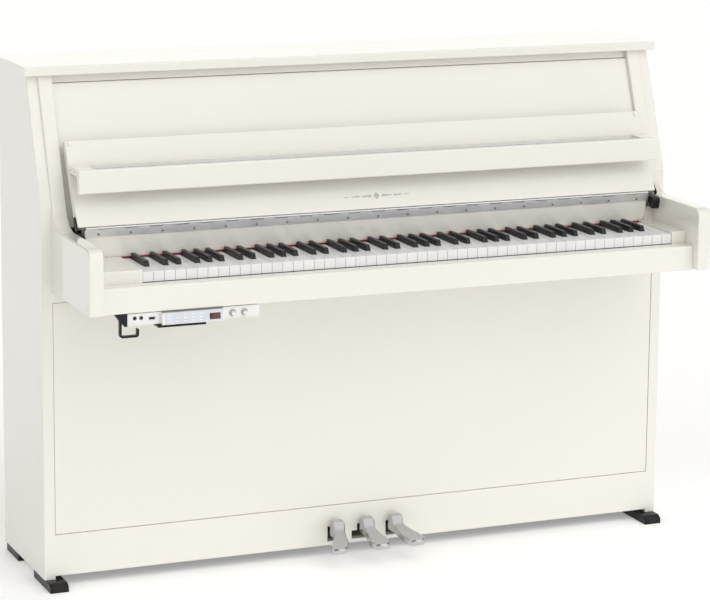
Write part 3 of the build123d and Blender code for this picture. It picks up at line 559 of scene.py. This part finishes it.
# Down the pedal from the back of its neck to its tip:
# upper edge (y, z), lower edge (y, z), half width, and whether the upper face is satin
PEDAL_STATIONS = (
    ((-36.0, 85.5), (-34.6, 83.0), 11.0, False),
    ((-38.5, 88.0), (-34.2, 76.0), 12.4, False),
    ((-44.0, 89.0), (-34.0, 68.0), 13.0, False),
    ((-51.0, 88.4), (-34.0, 60.0), 13.0, False),
    ((-55.4, 86.4), (-34.2, 54.0), 13.0, True),
    ((-58.2, 82.0), (-36.0, 50.6), 12.9, True),
    ((-61.4, 75.0), (-44.0, 50.0), 12.6, True),
    ((-63.6, 71.2), (-52.0, 49.8), 12.4, True),
    ((-67.0, 68.8), (-57.0, 49.2), 12.4, True),
    ((-73.0, 66.4), (-64.0, 47.8), 12.9, True),
    ((-81.0, 63.6), (-74.0, 45.2), 14.2, True),
    ((-89.0, 61.0), (-84.0, 42.4), 16.0, True),
    ((-97.0, 58.6), (-94.0, 39.8), 18.0, True),
    ((-105.0, 56.2), (-103.0, 37.2), 19.8, True),
    ((-112.0, 54.2), (-111.0, 35.8), 20.8, True),
    ((-117.0, 52.8), (-116.5, 35.4), 20.6, True),
    ((-121.5, 51.6), (-121.0, 35.2), 19.2, True),
    ((-125.2, 50.6), (-124.8, 35.2), 16.6, True),
    ((-128.0, 49.8), (-127.8, 35.4), 13.2, False),
    ((-130.2, 48.6), (-130.0, 36.2), 9.4, False),
    ((-131.6, 46.8), (-131.5, 37.8), 5.2, False),
    ((-132.0, 45.0), (-132.0, 39.6), 2.2, False),
)


def pedal_ring(x, splay, upper, lower, half):
    """Eight points round a pedal: a wide bevel beside the tread and a small one below."""
    bevel = min(2.6, 0.45 * half)
    under = min(1.4, 0.3 * half)
    shift = x + splay * max(0.0, min(1.2, (-62.0 - upper[0]) / 50.0))
    rise = Vector((upper[0] - lower[0], upper[1] - lower[1]))
    height = rise.length
    points = []
    sides = ((-half + under, 0.0), (-half, under), (-half, height - bevel), (-half + bevel, height))
    for across, up in sides + tuple((-a, u) for a, u in reversed(sides)):
        share = up / height
        points.append((shift + across, lower[0] + rise[0] * share, lower[1] + rise[1] * share))
    return points


def make_pedal(node, x, splay):
    """A plated pedal: satin neck and tread between bright bevels, with the lever behind it."""
    bm = bmesh.new()
    rings = [pedal_ring(x, splay, upper, lower, half) for upper, lower, half, _ in PEDAL_STATIONS]
    tread_column = 3

    def pick(row, column):
        return 1 if column == tread_column and PEDAL_STATIONS[row][3] and PEDAL_STATIONS[row + 1][3] else 0

    add_rings(bm, rings, pick)
    pivot_y, pivot_z = PEDAL_PIVOT
    lever = [(-36.0, 50.5), (-36.0, 64.0), (pivot_y, 72.0), (pivot_y, 56.0), (-20.0, 50.5)]
    add_slab(bm, lever, "X", x - 7.9, x + 7.9)
    add_turned(bm, [(-8.0, 9.0), (-7.0, 10.0), (7.0, 10.0), (8.0, 9.0)], (x, pivot_y, pivot_z), "X")
    pedal = piece(node + "_plated", bm, [FINISHES["pedal_nickel"], SATIN], node, 0.5)
    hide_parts(node)


# ---------------------------------------------------------------- headphone unit
UNIT_FRONT = -262.0
JACKS = (-608.5, -594.7)
JACK_Z = 630.0
JACK_MOUTH = 2.1
KNOBS = {"volume_knob": -397.0, "tone_knob": -371.0}
KNOB_Z = 626.0
SCREEN_LOW, SCREEN_HIGH = -547.0, -421.5


def screen_y(z):
    """The touch unit's front leans forward towards its foot."""
    return -269.5 - (638.0 - z) * 2.0 / 25.0


def make_jacks():
    """Two headphone sockets: a black nut ring with a bright sleeve in its mouth."""
    bm = bmesh.new()
    for x in JACKS:
        ring = [(0.3, JACK_MOUTH), (0.3, 3.9), (-0.7, 3.9), (-1.1, 3.5), (-1.1, 2.6), (-0.6, JACK_MOUTH)]
        add_open_turned(bm, ring, (x, UNIT_FRONT, JACK_Z), 0)
        sleeve = [(9.0, 1.95), (-0.5, 1.95), (-0.5, JACK_MOUTH), (9.0, JACK_MOUTH)]
        add_open_turned(bm, [(a, r - 0.3) for a, r in sleeve], (x, UNIT_FRONT, JACK_Z), 1)
        add_turned(bm, [(8.8, 1.7), (9.4, 1.7)], (x, UNIT_FRONT, JACK_Z), "Y", 24, 0)
    finishes = [FINISHES["black_plastic"], FINISHES["screw_steel"]]
    piece("jack_sockets", bm, finishes, "cabinet")


def add_open_turned(bm, section, centre, finish, steps=36):
    """A ring about the Y axis: its closed (along, radius) section carried round."""
    rings = []
    for step in range(steps):
        angle = 2 * pi * step / steps
        rings.append(
            [
                bm.verts.new((centre[0] + r * cos(angle), centre[1] + along, centre[2] + r * sin(angle)))
                for along, r in section
            ]
        )
    for lower, upper in zip(rings, rings[1:] + rings[:1]):
        for i in range(len(section)):
            j = (i + 1) % len(section)
            bm.faces.new((lower[i], lower[j], upper[j], upper[i])).material_index = finish


def make_data_port():
    """A raised bezel, a black lining and the tongue inside it."""
    bm = bmesh.new()
    x_low, x_high, z_low, z_high = -578.0, -565.0, 625.0, 630.4
    outer = rounded_box(x_low - 1.3, x_high + 1.3, z_low - 1.3, z_high + 1.3, 1.2)
    inner = rounded_box(x_low + 0.1, x_high - 0.1, z_low + 0.1, z_high - 0.1, 0.5)
    section = ((outer, 0.1), (outer, -0.35), (inner, -0.35), (inner, 0.1))
    loops = [[bm.verts.new((x, UNIT_FRONT + depth, z)) for x, z in outline] for outline, depth in section]
    for lower, upper in zip(loops, loops[1:] + loops[:1]):
        for i in range(len(lower)):
            j = (i + 1) % len(lower)
            bm.faces.new((lower[i], lower[j], upper[j], upper[i]))
    add_slab(bm, [(x_low, z_low), (x_high, z_low), (x_high, z_high), (x_low, z_high)], "Y", -253.2, -252.2, 1)
    add_slab(bm, rounded_box(x_low + 2, x_high - 2, 626.6, 628.4, 0.4), "Y", -260.6, -253.0, 1)
    finishes = [FINISHES["hinge_metal"], FINISHES["black_plastic"]]
    piece("data_port_bezel", bm, finishes, "cabinet")


def add_screen_plate(bm, outline, proud, depth, finish=0):
    """A thin plate lying on the touch unit's leaning front."""
    fronts, backs = [], []
    for x, z in outline:
        fronts.append(bm.verts.new((x, screen_y(z) - proud, z)))
        backs.append(bm.verts.new((x, screen_y(z) - proud + depth, z)))
    faces = [bm.faces.new(fronts), bm.faces.new(backs)]
    for i in range(len(outline)):
        j = (i + 1) % len(outline)
        faces.append(bm.faces.new((fronts[i], fronts[j], backs[j], backs[i])))
    for face in faces:
        face.material_index = finish


# Lit segments of each digit, named as on a seven-segment display
LIT_SEGMENTS = ("bc", "abged", "abcdef")


def segment_box(name, x, z, width, height):
    """(x, z) ranges of one segment in a digit whose lower left corner is given."""
    bar = 0.42
    half = height / 2
    across = (x + bar, x + width - bar)
    low, high = (z + bar, z + half - bar / 2), (z + half + bar / 2, z + height - bar)
    left, right = (x, x + bar * 1.6), (x + width - bar * 1.6, x + width)
    return {
        "a": (across, (z + height - bar, z + height)),
        "b": (right, high),
        "c": (right, low),
        "d": (across, (z, z + bar)),
        "e": (left, low),
        "f": (left, high),
        "g": (across, (z + half - bar / 2, z + half + bar / 2)),
    }[name]


def make_touch_screen():
    """The touch unit's face: a pale screen with soft marks, a grey cap and a small numeric display."""
    bm = bmesh.new()
    add_screen_plate(bm, rounded_box(SCREEN_LOW, SCREEN_HIGH, 614.3, 636.8, 0.6), 0.25, 0.5, 0)
    cap = [(-552.0, 638.2), (-420.0, 638.2), (-420.0, 639.2), (-552.0, 639.2)]
    add_slab(bm, cap, "Y", -269.6, -261.8, 1)
    piece("touch_screen", bm, [SCREEN, CAP_GREY], "cabinet")

    bm = bmesh.new()
    for step in range(5):
        x = -540.0 + 17.0 * step
        rows = ((0.0, 7.0, 631.6, 0 if step in (1, 2) else 1), (0.0, 7.0, 625.4, 1), (1.0, 5.0, 619.0, 1))
        for start, end, z, finish in rows:
            add_screen_plate(bm, rounded_box(x + start, x + end, z, z + 0.8, 0.35), 0.32, 0.2, finish)
    piece("screen_marks", bm, [MARK_ORANGE, MARK_WHITE], "cabinet")

    bm = bmesh.new()
    add_screen_plate(bm, rounded_box(-450.0, -426.4, 618.0, 631.0, 0.8), 0.55, 0.5, 0)
    piece("display_window", bm, [SMOKED], "cabinet")

    bm = bmesh.new()
    for place, lit in enumerate(LIT_SEGMENTS):
        for name in lit:
            (x_low, x_high), (z_low, z_high) = segment_box(name, -447.6 + 6.9 * place, 620.4, 4.6, 8.2)
            add_screen_plate(bm, rounded_box(x_low, x_high, z_low, z_high, 0.2, 2), 0.62, 0.2)
    piece("display_digits", bm, [DIGIT_RED], "cabinet")


def make_unit_trim():
    """The joints in the white panel on both sides of the touch unit."""
    bm = bmesh.new()
    for x in (-555.4, -418.0):
        add_slab(bm, [(x, 616.5), (x + 0.5, 616.5), (x + 0.5, 638.0), (x, 638.0)], "Y", -262.08, -261.8)
    piece("panel_joints", bm, [CAP_GREY], "cabinet")


def make_knob(node, x):
    """A knob whose skirt and waist are a darker grey, painted shade on its side, with a thin grey ring at its
    foot, a painted shadow of the gap there, and a white domed cap with a pointer line.
    """
    bm = bmesh.new()
    waist = [(11.0, 1.9), (-0.4, 1.9), (-0.5, 6.0), (-1.6, 6.2), (-2.2, 5.6), (-2.6, 4.7), (-7.6, 4.4)]
    cap = [(-7.5, 4.0), (-7.6, 4.6), (-8.6, 4.3), (-9.3, 3.2), (-9.5, 1.2)]
    add_turned(bm, waist, (x, UNIT_FRONT, KNOB_Z), "Y", 48, 2)
    add_turned(bm, cap, (x, UNIT_FRONT, KNOB_Z), "Y", 48)
    add_slab(bm, rounded_box(x - 0.35, x + 0.35, KNOB_Z + 1.0, KNOB_Z + 3.8, 0.3), "Y", -271.45, -270.6, 1)
    # A thin grey ring at the knob's foot: painted shadow of the gap between knob and panel.
    add_open_turned(bm, [(-0.1, 6.4), (-0.1, 7.6), (0.1, 7.6), (0.1, 6.4)], (x, UNIT_FRONT, KNOB_Z), 1)
    knob = piece(node + "_cap", bm, [FINISHES["panel_white"], CAP_GREY, KNOB_SIDE_PAINTED_SHADE], node)
    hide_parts(node)


# ---------------------------------------------------------------- fallboard fittings
LEAF_TILT = radians(62.2)
FACE_FOOT = (-95.0, 791.0)
HINGE_AXIS = (-92.5, 788.0)
LEAF_END = 675.5
SHELF_PIVOT = (136.0, 3.5)


def leaf_point(along, outward):
    """(y, z) of a point along the open leaf's face and out of it."""
    return (
        FACE_FOOT[0] + along * cos(LEAF_TILT) - outward * sin(LEAF_TILT),
        FACE_FOOT[1] + along * sin(LEAF_TILT) + outward * cos(LEAF_TILT),
    )


def make_damper_arms():
    """On each end of the leaf, the black arm that drives the soft-close damper, round a steel pin."""
    for side, name in ((-1, "left"), (1, "right")):
        bm = bmesh.new()
        low, high = sorted((side * (LEAF_END + 0.4), side * (LEAF_END + 3.2)))
        arm = [leaf_point(26.0, -6.0), leaf_point(26.0, -15.0), leaf_point(2.0, -15.0)]
        hub = 5.8
        for step in range(9):
            angle = radians(20.0) - radians(215.0) * step / 8
            arm.append((HINGE_AXIS[0] + hub * cos(angle), HINGE_AXIS[1] + hub * sin(angle)))
        add_slab(bm, arm, "X", low, high)
        piece(f"{name}_damper_arm", bm, [FINISHES["black_steel"]], "fallboard", 0.5)

        bm = bmesh.new()
        centre = (side * (LEAF_END + 3.2), *HINGE_AXIS)
        profile = [(side * 0.1, 2.6), (side * 1.2, 2.6), (side * 1.2, 1.4), (side * 1.5, 1.0)]
        add_turned(bm, profile, centre, "X", 24)
        piece(f"{name}_damper_pin", bm, [FINISHES["screw_steel"]], "cabinet")


def add_cross(bm, x, y, z, reach, width, axis, low, high):
    """The cross slot of a screw head, as a plate in the two directions across the axis."""
    arms = ((-reach, -width, reach, width), (-width, -reach, width, reach))
    for a, b, c, d in arms:
        place = {"X": (y, z), "Y": (x, z)}[axis]
        outline = [(place[0] + a, place[1] + b), (place[0] + c, place[1] + b)]
        outline += [(place[0] + c, place[1] + d), (place[0] + a, place[1] + d)]
        add_slab(bm, outline, axis, low, high)


def make_shelf_ends():
    """Lacquered plates over the shelf's ends, each held by two countersunk screws."""
    pivot_y, pivot_z = leaf_point(*SHELF_PIVOT)
    front, under = pivot_y - 56.0, pivot_z - 14.2
    slope = 1.0 / tan(LEAF_TILT)
    outline = [
        (pivot_y - 1.5, pivot_z - 0.8),
        (pivot_y - 1.5 - 13.4 * slope, under),
        (front + 4.0, under),
        (front, under + 3.0),
        (front, pivot_z - 0.8),
    ]
    for side, name in ((-1, "left"), (1, "right")):
        bm = bmesh.new()
        add_slab(bm, outline, "X", *sorted((side * (LEAF_END - 0.4), side * (LEAF_END + 0.9))))
        piece(f"{name}_shelf_end", bm, [FINISHES["case_lacquer"]], "shelf", 0.35)

        bm = bmesh.new()
        for y in (pivot_y - 17.0, pivot_y - 45.0):
            head = [(0.0, 1.7), (side * 0.25, 1.7), (side * 0.4, 1.3), (side * 0.4, 0.4)]
            add_turned(bm, head, (side * (LEAF_END + 0.85), y, pivot_z - 7.5), "X", 20)
        piece(f"{name}_shelf_screws", bm, [SLOT_SHADE_AND_DARK_HEADS], "shelf")


def make_screw_slots():
    """Cross slots in the nineteen screws of the long hinge, as thin dark plates: painted shade of the
    recessed slots.
    """
    bm = bmesh.new()
    count, pitch, height = 19, 70.0, 774.5
    for i in range(count):
        add_cross(bm, (i - (count - 1) / 2) * pitch, 0.0, height, 1.7, 0.5, "Y", -92.46, -92.2)
    piece("hinge_screw_slots", bm, [SLOT_SHADE_AND_DARK_HEADS], "cabinet")


def make_inlay():
    """A plain silver ornament on the leaf: a lozenge between tapering bars."""
    bm = bmesh.new()
    middle, half_height, thick = 30.0, 8.0, 0.25
    shapes = [[(-7.0, 0.0), (0.0, -half_height), (7.0, 0.0), (0.0, half_height)]]
    for side in (-1, 1):
        for start, length, half in ((13.0, 22.0, 2.6), (40.0, 20.0, 1.8), (65.0, 12.0, 1.1)):
            ends = (side * start, side * (start + length))
            tip = half * 0.45
            shapes.append([(ends[0], -half), (ends[1], -tip), (ends[1], tip), (ends[0], half)])
    for shape in shapes:
        rings = []
        for outward in (-0.1, thick):
            rings.append([bm.verts.new((x, *leaf_point(middle + up, outward))) for x, up in shape])
        bm.faces.new(rings[0])
        bm.faces.new(rings[1])
        for i in range(4):
            j = (i + 1) % 4
            bm.faces.new((rings[0][i], rings[0][j], rings[1][j], rings[1][i]))
    piece("leaf_inlay", bm, [INLAY], "fallboard")


def make_lid_leaf():
    """The lid's half of its continuous hinge, let into the underside at the back."""
    bm = bmesh.new()
    half, pitch = 690.0, 46.0
    front, back, under, upper = 258.0, 275.0, 1090.1, 1091.2
    add_slab(bm, [(front, under), (back, under), (back, upper), (front, upper)], "X", -half, half)
    screw = [(-0.35, 2.4), (0.0, 2.6), (0.35, 2.4)]
    for step in range(int(half / pitch)):
        add_turned(bm, screw, ((2 * step + 0.5) * pitch - half, 266.0, under), "Z", 20, 1)
    finishes = [FINISHES["hinge_metal"], FINISHES["screw_steel"]]
    piece("lid_hinge_leaf", bm, finishes, "lid")


for pedal_node, (pedal_x, pedal_splay) in PEDALS.items():
    make_pedal(pedal_node, pedal_x, pedal_splay)
make_jacks()
make_data_port()
make_touch_screen()
make_unit_trim()
for knob_node, knob_x in KNOBS.items():
    make_knob(knob_node, knob_x)
make_damper_arms()
make_shelf_ends()
make_screw_slots()
make_inlay()
make_lid_leaf()


# ---------------------------------------------------------------- floor
def make_floor():
    """A plain pale floor that reaches past the frame on every side."""
    settings = {"Roughness": 0.9, "Specular IOR Level": 0.2, "Emission Strength": 0.26}
    f = Finish("floor_white", {**settings, "Emission Color": colour(1, 1, 1)})
    f.feed("Base Color", f.mix(f.noise(0.4, 2.0), colour(0.90, 0.90, 0.90), colour(0.94, 0.94, 0.94)))
    mesh = bpy.data.meshes.new("floor")
    reach = 60.0
    corners = [(-reach, -reach, 0.0), (reach, -reach, 0.0), (reach, reach, 0.0), (-reach, reach, 0.0)]
    mesh.from_pydata(corners, [], [(0, 1, 2, 3)])
    mesh.materials.append(f.material)
    floor = bpy.data.objects.new("floor", mesh)
    bpy.context.scene.collection.objects.link(floor)


make_floor()
